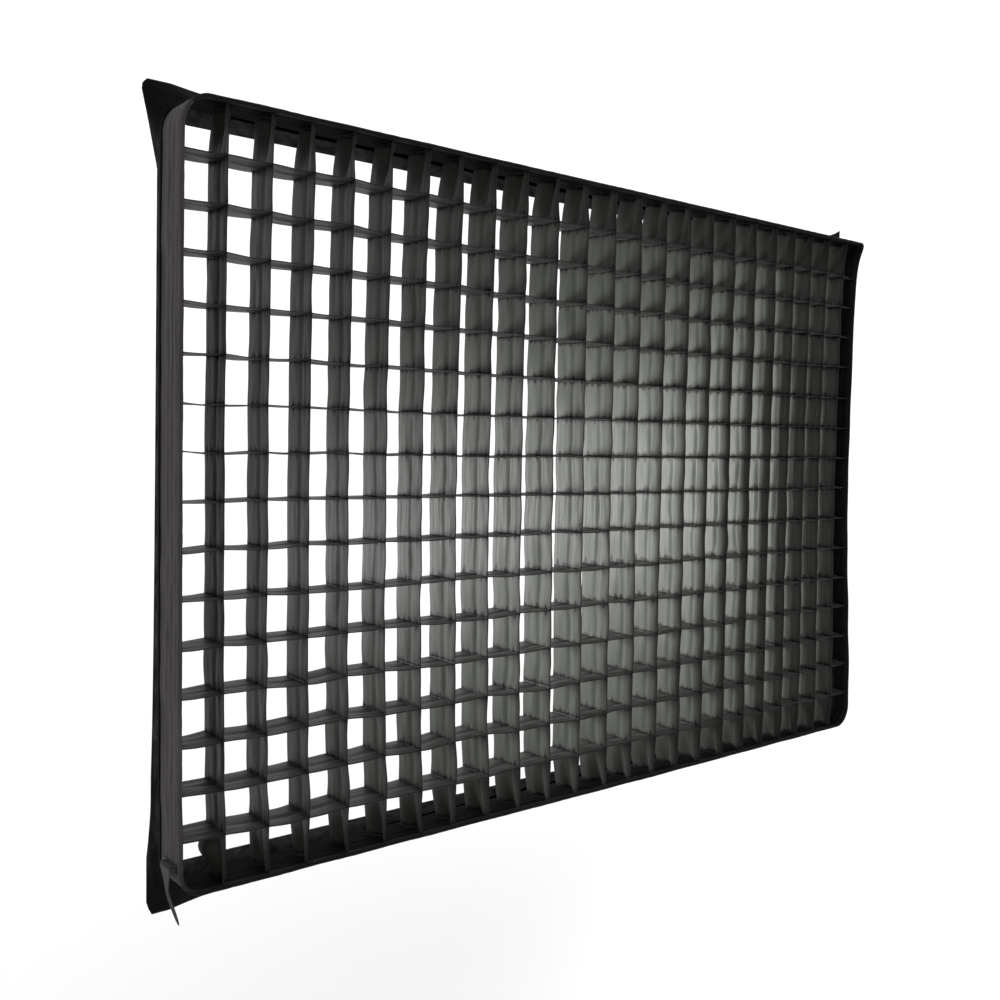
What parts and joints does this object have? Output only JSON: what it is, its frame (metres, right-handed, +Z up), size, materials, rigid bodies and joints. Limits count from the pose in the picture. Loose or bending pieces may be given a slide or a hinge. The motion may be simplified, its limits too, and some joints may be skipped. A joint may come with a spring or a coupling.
{
  "type": "fabric egg-crate light control grid",
  "caption": "Collapsible black fabric egg-crate grid for a large soft light: half-lapped blades in a rounded band, a flared rear skirt with hook tape, a corner loop and a pull tab.",
  "frame": {"origin": "the middle of the rear plane, where the hook tapes meet the light or its frame", "axes": "+X to the right seen from the front, +Y to the rear towards the light source, +Z up. The light leaves towards -Y"},
  "size_m": [1.8828, 0.1289, 1.2912],
  "materials": {
    "black_nylon": "matte woven nylon",
    "black_webbing": "ribbed woven webbing",
    "coated_fabric": "glossy coated fabric",
    "hook_tape": "hook-and-loop tape",
    "moulded_plastic": "satin moulded nylon",
    "spring_steel": "drawn spring steel"
  },
  "bodies": {
    "grid": {"vertical_blade_01": "black_nylon", "vertical_blade_02": "black_nylon", "vertical_blade_03": "black_nylon", "vertical_blade_04": "black_nylon", "vertical_blade_05": "black_nylon", "vertical_blade_06": "black_nylon", "vertical_blade_07": "black_nylon", "vertical_blade_08": "black_nylon", "vertical_blade_09": "black_nylon", "vertical_blade_10": "black_nylon", "vertical_blade_11": "black_nylon", "vertical_blade_12": "black_nylon", "vertical_blade_13": "black_nylon", "vertical_blade_14": "black_nylon", "vertical_blade_15": "black_nylon", "vertical_blade_16": "black_nylon", "vertical_blade_17": "black_nylon", "vertical_blade_18": "black_nylon", "vertical_blade_19": "black_nylon", "vertical_blade_20": "black_nylon", "vertical_blade_21": "black_nylon", "vertical_blade_22": "black_nylon", "vertical_blade_23": "black_nylon", "horizontal_blade_01": "black_nylon", "horizontal_blade_02": "black_nylon", "horizontal_blade_03": "black_nylon", "horizontal_blade_04": "black_nylon", "horizontal_blade_05": "black_nylon", "horizontal_blade_06": "black_nylon", "horizontal_blade_07": "black_nylon", "horizontal_blade_08": "black_nylon", "horizontal_blade_09": "black_nylon", "horizontal_blade_10": "black_nylon", "horizontal_blade_11": "black_nylon", "horizontal_blade_12": "black_nylon", "horizontal_blade_13": "black_nylon", "horizontal_blade_14": "black_nylon", "horizontal_blade_15": "black_nylon", "perimeter_band": "black_webbing", "front_binding": "black_webbing", "front_hoop": "spring_steel", "skirt_top": "coated_fabric", "skirt_right": "coated_fabric", "skirt_bottom": "coated_fabric", "skirt_left": "coated_fabric", "rear_lip": "coated_fabric", "hook_tape_top": "hook_tape", "hook_tape_bottom": "hook_tape", "hook_tape_left": "hook_tape", "hook_tape_right": "hook_tape", "corner_loop": "moulded_plastic"},
    "tab": {"pull_tab": "black_webbing"}
  },
  "joints": [
    {"name": "tab_hinge", "type": "hinge", "parent": "grid", "child": "tab", "pos_m": [-0.9241, -0.0809, -0.5756], "axis": [0, 1, 0], "range_deg": [-20, 150]}
  ]
}
